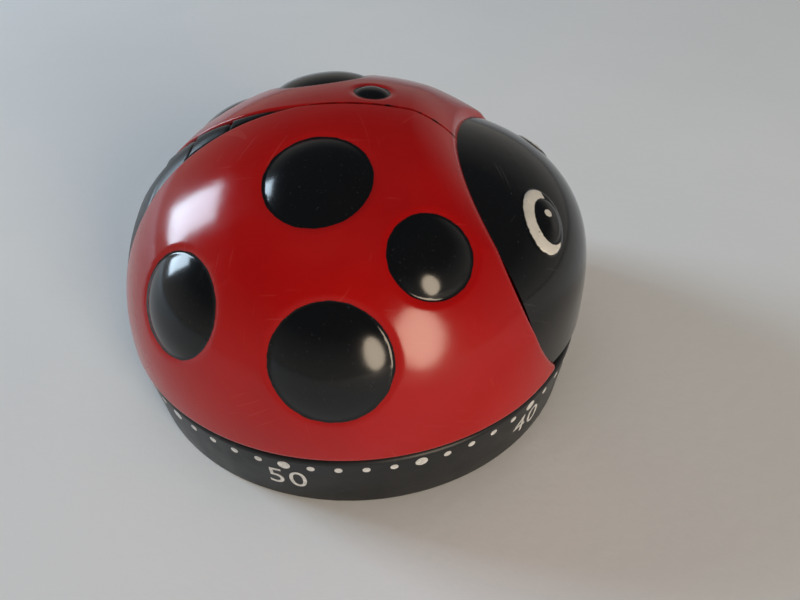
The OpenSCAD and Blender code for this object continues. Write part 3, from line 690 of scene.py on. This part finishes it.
def depth_to_head(p, n):
    """How far the head's surface lies under points p, along normals n."""
    low, high = np.zeros(len(p)), np.full(len(p), HEAD_DEPTH)
    return bisect(lambda t: head_value(p - n * t[..., None]) > 0, low, high)


def neck_on_head():
    """The wing case's front edge carried down to the head: angle round the edge, and x there."""
    edge = wing_half()[-1]
    n = dome_normals(edge)
    foot = edge - n * depth_to_head(edge, n)[:, None]
    angle = np.arctan2(foot[:, 2] - SHELL_Z, foot[:, 1])
    tuck = NECK_TUCK * smooth((foot[:, 2] - TOP_Z) / TUCK_RUN)
    return angle[::-1], (foot[:, 0] - tuck)[::-1]


def lobe_sink(head_depth, neck_gap):
    """The wing case sinks towards the head near the neck, until LIP of it stands proud."""
    return np.maximum(head_depth - LIP, 0) * np.clip(1 - neck_gap / LOBE_RUN, 0, 1) ** LOBE_POWER


def wing_side(side):
    """Outer and inner points of one half, and its distance to spot paint and painted seam shade; side is
    1 or -1 for +Y or -Y.
    """
    p = wing_half() * np.array([1, side, 1])
    n = dome_normals(p)
    x, z = p[..., 0], p[..., 2]
    zero, one = np.zeros(x.shape), np.ones(x.shape)
    bottom = edge_distance(z - SHELL_Z, UP, n)
    neck = edge_distance(neck_x(z) - x, np.stack([-one, zero, neck_slope(z)], axis=-1), n)
    step = 0.05
    slope = (slot_half(x + step) - slot_half(x - step)) / (2 * step)
    seam_grad = np.stack([-slope, one * side, zero], axis=-1)
    seam = edge_distance(np.abs(p[..., 1]) - slot_half(x), seam_grad, n)
    drop = rounding(bottom, WING_EDGE_R)
    drop += rounding(neck, NECK_EDGE_R + NECK_EDGE_MORE * smooth((z - TOP_Z) / NECK_EDGE_RUN))
    # 0 at the open slot and 1 where the halves meet in a seam
    is_seam = smooth((x + SLOT_START) / SLOT_FADE)
    groove = SEAM_DEPTH * smooth((SEAM_W[1] - seam) / (SEAM_W[1] - SEAM_W[0]))
    slot_edge = SLOT_EDGE_DROP * rounding(seam, SEAM_R) / SEAM_R
    drop += is_seam * groove + (1 - is_seam) * slot_edge
    lobe = lobe_sink(depth_to_head(p[-1], n[-1]), neck)
    height, paint = spot_height(p)
    # the floor of the seam groove gets the spots' black as painted shade
    paint = np.where(is_seam > 0.5, np.minimum(paint, seam - SEAM_SHADE_HALF), paint)
    outer = p - n * (drop + lobe - height)[..., None]
    outer[TAIL_ROWS:, 0, 1] = 0
    inner = (p - n * (WING_T + lobe)[..., None])[::COARSE, ::COARSE]
    inner[..., 1] = np.where(side * inner[..., 1] < 0, 0, inner[..., 1])
    return outer, inner, paint


def shell_loop(right, left, apex):
    """The closed edge of two grids of vertex numbers that are welded from row apex to the last."""
    return np.concatenate(
        [
            right[apex:0:-1, 0],
            right[0, :-1],
            right[:-1, -1],
            right[-1, :0:-1],
            left[-1, :-1],
            left[:0:-1, -1],
            left[0, :0:-1],
            left[:apex, 0],
        ]
    )


def welded(rows, cols, start, apex):
    """Vertex numbers of two halves that share their first column from row apex on."""
    right = start + np.arange(rows * cols).reshape(rows, cols)
    left = right + rows * cols
    left[apex:, 0] = right[apex:, 0]
    return right, left


def make_wing_case():
    right_outer, right_inner, right_paint_and_shade = wing_side(1)
    left_outer, left_inner, left_paint_and_shade = wing_side(-1)
    rows, cols = right_paint_and_shade.shape
    few = right_inner.shape[:2]
    right, left = welded(rows, cols, 0, TAIL_ROWS)
    right_in, left_in = welded(*few, 2 * rows * cols, TAIL_ROWS // COARSE)
    sides = (right_outer, left_outer, right_inner, left_inner)
    points = np.concatenate([side.reshape(-1, 3) for side in sides])
    unpainted = np.full(2 * few[0] * few[1], FAR)
    paint = np.concatenate([right_paint_and_shade.ravel(), left_paint_and_shade.ravel(), unpainted])
    faces = quads(right) + quads(left) + quads(right_in) + quads(left_in)
    loop = shell_loop(right, left, TAIL_ROWS)
    faces += stitch(loop, shell_loop(right_in, left_in, TAIL_ROWS // COARSE))
    obj = mesh_object("wing_case_red", points, faces, 50, {"paint_and_shade_distance": paint})
    return put(obj, "shell", "red_gloss", SLOTS["red_gloss"], "wing_case")


# ---------------------------------------------------------------- head
def ellipse_distance(a, b, size):
    """Signed distance to an ellipse, close enough near its edge."""
    f = np.sqrt((a / size[0]) ** 2 + (b / size[1]) ** 2)
    steep = np.sqrt((a / size[0] ** 2) ** 2 + (b / size[1] ** 2) ** 2) / np.maximum(f, 1e-6)
    return (f - 1) / np.maximum(steep, 1e-3)


def eye_shape(p):
    """How far the eyes raise the head at p, and the distance to the edge of their white print."""
    height = np.zeros(p.shape[:-1])
    white = np.full(p.shape[:-1], FAR)
    tilt = math.radians(EYE_TILT)
    for angle, z, side in EYES:
        turn = math.radians(angle)
        reach = HEAD_R * math.sqrt(1 - ((z - SHELL_Z) / HEAD_H) ** HEAD_POWER)
        centre = np.array([HEAD_X + reach * math.cos(turn), reach * math.sin(turn), z])
        n = head_normals(centre)
        along = np.array([-math.sin(turn), math.cos(turn), 0]) * -side
        up = UP - n * n[2]
        up /= np.linalg.norm(up)
        a = (p - centre) @ (math.cos(tilt) * up + math.sin(tilt) * along)
        b = (p - centre) @ (math.cos(tilt) * along - math.sin(tilt) * up)
        near = (p - centre) @ n > -EYE_DEPTH
        outer = ellipse_distance(a, b, EYE_SIZE)
        pupil = ellipse_distance(a - PUPIL_AT[0], b - PUPIL_AT[1], PUPIL_SIZE)
        plate = EYE_RISE * smooth(-outer / EYE_SLOPE_W)
        ball = PUPIL_RISE * np.sqrt(np.clip(-pupil / PUPIL_SIZE[1], 0, 1))
        height += np.where(near, plate + ball, 0)
        dark = ellipse_distance(a - DARK_AT[0], b - DARK_AT[1], DARK_SIZE)
        end = b + WHITE_END[0] * a - WHITE_END[1]
        crescent = np.maximum(np.maximum(ellipse_distance(a, b, WHITE_SIZE), -dark), end)
        glint = np.hypot(a - GLINT_AT[0], b - GLINT_AT[1]) - GLINT_R
        white = np.where(near, np.minimum(white, np.minimum(crescent, glint)), white)
    return height, white


def head_point(turn, tilt):
    """The point of the head's dome seen from HEAD_FROM at a tilt from its axis and a turn round it."""
    around = np.cos(turn)[..., None] * HEAD_UP + np.sin(turn)[..., None] * HEAD_SIDE
    way = np.cos(tilt)[..., None] * HEAD_AXIS + np.sin(tilt)[..., None] * around
    low, high = np.zeros(turn.shape), np.full(turn.shape, REACH)
    reach = bisect(lambda t: head_value(HEAD_FROM + way * t[..., None]) < 0, low, high)
    return HEAD_FROM + way * reach[..., None]


def head_rim(turn, edge_angle, edge_x):
    """Tilt of the head's rim, which follows the wing case's front edge and the lower edge."""

    def is_inside(tilt):
        p = head_point(turn, tilt)
        angle = np.arctan2(p[..., 2] - SHELL_Z, np.abs(p[..., 1]))
        neck_gap = p[..., 0] - np.interp(angle, edge_angle, edge_x)
        return np.minimum(neck_gap, p[..., 2] - SHELL_Z) > 0

    return bisect(is_inside, np.zeros(turn.shape), np.full(turn.shape, RIM_TILT), 30)


def head_turns(edge_angle, edge_x):
    """Turns that are evenly spaced on the rim, with a vertex where the neck meets the lower edge."""
    corner_x = edge_x[0]
    corner = np.array([corner_x, math.sqrt(HEAD_R**2 - (corner_x - HEAD_X) ** 2), SHELL_Z]) - HEAD_FROM
    corner_turn = math.atan2(corner @ HEAD_SIDE, corner @ HEAD_UP)
    turns = []
    for start, end, count in (
        (-corner_turn, corner_turn, 3 * HEAD_COLS // 4),
        (corner_turn, 2 * math.pi - corner_turn, HEAD_COLS // 4),
    ):
        dense = np.linspace(start, end, RIM_SAMPLES)
        run = lengths(head_point(dense, head_rim(dense, edge_angle, edge_x)))
        turns.append(np.interp(np.linspace(0, run[-1], count + 1)[:-1], run, dense))
    return np.concatenate(turns)


def head_grid():
    """Grid of points on the head's dome: a row for each turn, from the axis out to the rim."""
    edge_angle, edge_x = neck_on_head()
    turn = head_turns(edge_angle, edge_x)
    limit = head_rim(turn, edge_angle, edge_x)
    dense = limit[:, None] * np.linspace(0, 1, HEAD_SAMPLES)[None, :]
    run = lengths(head_point(np.broadcast_to(turn[:, None], dense.shape), dense))
    tilt = np.stack(
        [
            np.interp(spread(row[-1], HEAD_RINGS + 1, 0.0, HEAD_EDGE_R, 0, 6), row, tilts)
            for row, tilts in zip(run, dense)
        ]
    )
    return head_point(np.broadcast_to(turn[:, None], tilt.shape), tilt)


def make_head():
    p = head_grid()
    n = head_normals(p)
    drop = rounding(edge_distance(p[..., 2] - SHELL_Z, UP, n), HEAD_EDGE_R)
    height, white = eye_shape(p)
    outer = p - n * (drop - height)[..., None]
    inner = (p - n * HEAD_T)[::COARSE, ::COARSE]
    index = np.arange(white.size).reshape(white.shape)
    index[:, 0] = 0
    few = inner.shape[:2]
    index_in = white.size + np.arange(few[0] * few[1]).reshape(few)
    index_in[:, 0] = white.size
    faces = []
    for grid in (index, index_in):
        ring = np.concatenate([grid, grid[:1]])
        faces += quads(ring[:, 1:])
        faces += [(grid[0, 0], a, b) for a, b in zip(ring[:-1, 1], ring[1:, 1])]
    faces += stitch(index[:, -1], index_in[:, -1])
    points = np.concatenate([outer.reshape(-1, 3), inner.reshape(-1, 3)])
    white = np.concatenate([white.ravel(), np.full(few[0] * few[1], FAR)])
    obj = mesh_object("head_black", points, faces, 50, {"white_distance": white})
    return put(obj, "shell", "black_gloss", HEAD_BLACK, "head")


# ---------------------------------------------------------------- abdomen
def plate_half(x):
    """Half width of the abdomen's plates at x."""
    return np.maximum(slot_half(x) - SEGMENT_SIDE, 0.05)


def plate_front(front, across):
    """X along the front edge of a plate: its middle is nearest to the head."""
    return front - SEGMENT_BOW * plate_half(front) * across**2


def make_abdomen():
    """Overlapping curved plates in the slot: each plate starts in a crease below the one in front."""
    across = np.linspace(-1, 1, ABDOMEN_COLS + 1)
    foot = bisect(
        lambda x: x**2 + (across * plate_half(x)) ** 2 < DOME_R**2,
        np.full(len(across), SEGMENT_FRONT[-1]),
        np.full(len(across), -DOME_R - 0.5),
    )
    top, under = [], []
    for k, middle in enumerate(SEGMENT_FRONT):
        is_last = k == len(SEGMENT_FRONT) - 1
        front = plate_front(middle, across)
        back = foot if is_last else plate_front(SEGMENT_FRONT[k + 1], across)
        length = middle - foot.min() + SHELL_Z if is_last else middle - SEGMENT_FRONT[k + 1]
        for run in spread(length, SEGMENT_ROWS, CREASE_W, SEGMENT_EDGE_R, 8, 5):
            share = run / length
            x = front + (back - front) * (math.sin(share * math.pi / 2) if is_last else share)
            half = plate_half(x)
            y = across * half
            p = np.stack([x, y, dome_top(x, y)], axis=-1)
            n = dome_normals(p)
            crease = SEGMENT_CREASE * max(1 - run / CREASE_W, 0) ** 2
            depth = SEGMENT_DEPTH + (SEGMENT_STEP * (1 - share) + crease) * (k > 0)
            depth += rounding(length - run, SEGMENT_EDGE_R)
            side = rounding((1 - np.abs(across)) * half, SEGMENT_EDGE_R)
            crown = SEGMENT_CROWN * np.minimum(1.0, half / 2) * (1 - across**2)
            top.append(p - n * (depth + side - crown)[:, None])
            # the two rows that meet in a crease stay apart underneath
            apart = np.array([ROW_GAP if run == 0 else 0.0, 0, 0])
            under.append(p - n * (SEGMENT_DEPTH + SEGMENT_T) - apart)
    top, under = np.array(top), np.array(under)
    top[..., 2] = np.maximum(top[..., 2], SHELL_Z)
    under[..., 2] = np.maximum(under[..., 2], SHELL_Z)
    count, cols = top.shape[:2]
    upper = np.arange(count * cols).reshape(count, cols)
    lower = upper + count * cols
    faces = quads(upper) + quads(lower)
    edge = [np.concatenate([g[0, :-1], g[:-1, -1], g[-1, :0:-1], g[:0:-1, 0]]) for g in (upper, lower)]
    faces += quads(np.stack([np.append(e, e[0]) for e in edge]))
    points = np.concatenate([top.reshape(-1, 3), under.reshape(-1, 3)])
    obj = mesh_object("abdomen_plates", points, faces, 40)
    return put(obj, "shell", "black_gloss", PLATE_BLACK, "abdomen")


# ---------------------------------------------------------------- base ring and dial print
def arc(centre, r, start, end, count=6):
    """Points of a rounding in a profile; angles in degrees."""
    angles = np.radians(np.linspace(start, end, count))
    return [(centre[0] + r * math.cos(a), centre[1] + r * math.sin(a)) for a in angles]


def revolve(profile, steps, span=2 * math.pi, start=0.0):
    """Points and faces of a closed profile of (radius, z) turned about the axis."""
    closed = abs(span - 2 * math.pi) < 1e-9
    turns = start + np.linspace(0, span, steps + 1)
    turns = turns[:-1] if closed else turns
    r, z = np.array(profile).T
    points = np.stack(
        [np.outer(np.cos(turns), r), np.outer(np.sin(turns), r), np.tile(z, (len(turns), 1))], axis=-1
    )
    index = np.arange(points.shape[0] * points.shape[1]).reshape(points.shape[:2])
    wrapped = np.concatenate([index, index[:, :1]], axis=1)
    if closed:
        wrapped = np.concatenate([wrapped, wrapped[:1]])
        return points.reshape(-1, 3), quads(wrapped)
    ends = [tuple(index[0]), tuple(index[-1])]
    return points.reshape(-1, 3), quads(wrapped) + ends


def joined(parts):
    """Several sets of points and faces as one."""
    points, faces, start = [], [], 0
    for p, f in parts:
        points.append(np.asarray(p).reshape(-1, 3))
        faces += [tuple(int(v) + start for v in face) for face in f]
        start += len(points[-1])
    return np.concatenate(points), faces


def cone_r(z):
    """Radius of the ring's outer face at height z."""
    return FOOT_R + (RING_R - FOOT_R) * (z - FOOT_EDGE_R) / CONE_H


def make_base_ring():
    deck_z = RING_H - DECK_T
    profile = (
        arc((FOOT_R - FOOT_EDGE_R, FOOT_EDGE_R), FOOT_EDGE_R, -90, -CONE_LEAN)
        + [(cone_r(z), z) for z in (3.0, 6.0)]
        + arc((cone_r(RING_H) - RING_EDGE_IN, RING_H - RING_EDGE_R), RING_EDGE_R, -CONE_LEAN, 90, 10)
        + [(DECK_IN_R, RING_H), (DECK_IN_R, deck_z), (RING_IN_R, deck_z), (RING_IN_R, COVER_SEAT_Z)]
        + [(COVER_SEAT_R, COVER_SEAT_Z), (COVER_SEAT_R, 0.0)]
    )
    parts = [revolve(profile, RING_STEPS)]
    low, high = COVER_SEAT_Z, deck_z + BOSS_SUNK
    for angle in BOSS_ANGLES:
        a = math.radians(angle)
        boss = [(BOSS_BORE_R, low), (BOSS_R, low), (BOSS_R, high), (BOSS_BORE_R, high)]
        points, faces = revolve(boss, 48)
        parts.append((points + BOSS_AT * np.array([math.cos(a), math.sin(a), 0]), faces))
    half = math.radians(RIB_HALF)
    low, high = RING_H - RIB_SUNK, RING_H + RIB_H
    rib = [(RIB_R[0], low), (RIB_R[1], low), (RIB_R[1], high), (RIB_R[0], high)]
    parts.append(revolve(rib, 6, 2 * half, math.radians(RIB_ANGLE) - half))
    points, faces = joined(parts)
    obj = mesh_object("base_ring_dial", points, faces, 35)
    return put(obj, "base", "dark_satin", SLOTS["dark_satin"], "base_ring")


def on_ring(turn, z, proud):
    """A point of the ring's outer face, standing proud of it."""
    r = cone_r(z) + proud
    return np.stack([r * np.cos(turn), r * np.sin(turn), z + 0 * turn], axis=-1)


def raised_patch(flat, faces, minute):
    """A thin solid of print from a flat outline, (across, up) in mm, at a minute of the dial."""
    flat = np.asarray(flat, float)
    turn = math.radians((REST_MINUTE - minute) * 6) + flat[:, 0] / RING_R
    outer = on_ring(turn, flat[:, 1], PRINT_T)
    inner = on_ring(turn, flat[:, 1], -PRINT_SUNK)
    count = len(flat)
    back = [tuple(v + count for v in reversed(f)) for f in faces]
    edges = {}
    for f in faces:
        for a, b in zip(f, f[1:] + f[:1]):
            edges[(a, b)] = True
    sides = [(b, a, a + count, b + count) for a, b in edges if (b, a) not in edges]
    return np.concatenate([outer, inner]), [tuple(f) for f in faces] + back + sides


def disc(radius, z, steps):
    """Flat outline and face of a dot."""
    turns = np.linspace(0, 2 * math.pi, steps, endpoint=False)
    flat = np.stack([radius * np.cos(turns), z + radius * np.sin(turns)], axis=-1)
    return flat, [tuple(range(steps))]


def number_outline(text):
    """Flat triangles of a number in Blender's own font, as wide and high as on the dial."""
    curve = bpy.data.curves.new("number", "FONT")
    curve.body = text
    curve.align_x = "CENTER"
    curve.resolution_u = 6
    curve.space_character = DIGIT_SPACE
    curve.offset = DIGIT_OFFSET
    obj = bpy.data.objects.new("number", curve)
    bpy.context.scene.collection.objects.link(obj)
    bpy.context.view_layer.update()
    mesh = bpy.data.meshes.new_from_object(obj)
    bm = bmesh.new()
    bm.from_mesh(mesh)
    bmesh.ops.remove_doubles(bm, verts=bm.verts, dist=1e-5)
    bmesh.ops.triangulate(bm, faces=bm.faces)
    flat = np.array([v.co[:2] for v in bm.verts])
    faces = [tuple(v.index for v in f.verts) for f in bm.faces]
    bm.free()
    bpy.data.objects.remove(obj)
    bpy.data.curves.remove(curve)
    bpy.data.meshes.remove(mesh)
    low, high = flat.min(0), flat.max(0)
    size = np.array([len(text) * DIGIT_W + (len(text) - 1) * DIGIT_GAP, DIGIT_H])
    foot = [(low[0] + high[0]) / 2, low[1]]
    return (flat - foot) * (size / (high - low)) + [0, DIGIT_Z], faces


def make_dial_print():
    dots = []
    for minute in range(60):
        radius, steps = (BIG_DOT_R, 32) if minute % 5 == 0 else (DOT_R, 24)
        dots.append(raised_patch(*disc(radius, DOT_Z, steps), minute))
    numbers = [raised_patch(*number_outline(str(minute)), minute) for minute in range(0, 60, 10)]
    for name, parts in (("dial_dots", dots), ("dial_numbers", numbers)):
        obj = mesh_object(name, *joined(parts), 40)
        put(obj, "base", "print_white", SLOTS["print_white"])


# ---------------------------------------------------------------- body shell and the movement
def make_body_shell():
    """The inner shell follows the wing case where that sinks towards the head."""
    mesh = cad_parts["body_shell"].data.copy()
    mesh.name = "body_shell_skin"
    co = np.zeros(len(mesh.vertices) * 3)
    mesh.vertices.foreach_get("co", co)
    p = co.reshape(-1, 3) / MM
    n = dome_normals(np.where(p[:, 2:] > SHELL_Z, p, p + 0.01 * UP))
    low, high = np.zeros(len(p)), np.full(len(p), SKIN_REACH)
    depth = bisect(lambda t: dome_value(p + n * t[:, None]) < 0, low, high)
    surface = p + n * depth[:, None]
    neck = neck_x(surface[:, 2]) - surface[:, 0]
    is_skin = (depth < SKIN_DEPTH) & (p[:, 2] > SHELL_Z + SKIN_FOOT)
    is_skin &= (neck > -SKIN_PAST_NECK) & (neck < LOBE_RUN)
    sink = lobe_sink(depth_to_head(surface, n), np.maximum(neck, 0)) + SKIN_CLEAR
    p = np.where(is_skin[:, None], p - n * sink[:, None], p)
    mesh.vertices.foreach_set("co", (p * MM).ravel())
    mesh.update()
    obj = bpy.data.objects.new("body_shell_skin", mesh)
    bpy.context.scene.collection.objects.link(obj)
    return put(obj, "shell", "black_gloss", SLOTS["black_gloss"], "body_shell")


def dress_cad_nodes():
    """Every CAD node that stays gets the material of its slot."""
    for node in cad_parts.values():
        for holder in node.material_slots:
            name = holder.material.name.split(".")[0]
            holder.material = SLOTS[name] if name != "red_gloss" else SLOTS["black_gloss"]


# ---------------------------------------------------------------- stage, light and camera
def make_floor():
    half = FLOOR_HALF
    corners = [(-half, -half, 0), (half, -half, 0), (half, half, 0), (-half, half, 0)]
    mesh = bpy.data.meshes.new("floor")
    mesh.from_pydata(corners, [], [(0, 1, 2, 3)])
    mesh.materials.append(floor_material())
    floor = bpy.data.objects.new("floor", mesh)
    bpy.context.scene.collection.objects.link(floor)


def area_light(name, shape, azimuth, elevation, distance, size, power, colour):
    """A soft box that faces the timer. Azimuth runs clockwise from +Y, as seen from above."""
    data = bpy.data.lights.new(name, "AREA")
    data.shape = shape
    data.size, data.size_y = size
    data.energy = power
    data.color = colour
    light = bpy.data.objects.new(name, data)
    a, e = math.radians(azimuth), math.radians(elevation)
    way = Vector((math.sin(a) * math.cos(e), math.cos(a) * math.cos(e), math.sin(e)))
    target = Vector((0, 0, 0.02))
    light.location = target + way * distance
    light.rotation_euler = (-way).to_track_quat("-Z", "Y").to_euler()
    bpy.context.scene.collection.objects.link(light)
    return light


def make_light():
    world = bpy.data.worlds.new("studio")
    bpy.context.scene.world = world
    world.use_nodes = True
    tree = world.node_tree
    back = tree.nodes["Background"]
    where = add(tree, "ShaderNodeTexCoord").outputs["Generated"]
    height = add(tree, "ShaderNodeSeparateXYZ", Vector=where).outputs["Z"]
    sky = blend_colour(tree, remap(tree, height, 0.0, 0.6), (0.55, 0.53, 0.49), (0.08, 0.088, 0.10))
    tree.links.new(sky, back.inputs["Color"])
    back.inputs["Strength"].default_value = 0.7
    area_light("window", "RECTANGLE", -70, 22, 0.9, (0.26, 0.40), 5.0, (0.66, 0.84, 1.0))
    area_light("warm_fill", "ELLIPSE", 146, 17, 1.0, (0.38, 0.60), 6.2, (1.0, 0.82, 0.62))
    overhead = area_light("overhead", "RECTANGLE", 0, 90, 1.1, (1.2, 1.2), 2.2, (1.0, 0.97, 0.92))
    overhead.visible_glossy = False
    bpy.context.scene.view_settings.view_transform = "Standard"


def make_camera():
    way = Vector(CAMERA_WAY).normalized()
    right = way.cross(Vector((0, 0, 1))).normalized()
    up = right.cross(way)
    roll = math.radians(CAMERA_ROLL)
    side = right * math.cos(roll) + up * math.sin(roll)
    top = up * math.cos(roll) - right * math.sin(roll)
    data = bpy.data.cameras.new("camera")
    data.lens = CAMERA_LENS
    data.sensor_width = SENSOR
    data.clip_start = 0.005
    data.clip_end = 20
    camera = bpy.data.objects.new("camera", data)
    turn = Matrix((side, top, -way)).transposed().to_4x4()
    camera.matrix_world = Matrix.Translation(Vector(CAMERA_AT) * MM) @ turn
    bpy.context.scene.collection.objects.link(camera)
    bpy.context.scene.camera = camera


make_camera()
make_light()
make_floor()
dress_cad_nodes()
make_wing_case()
make_head()
make_abdomen()
make_base_ring()
make_dial_print()
make_body_shell()
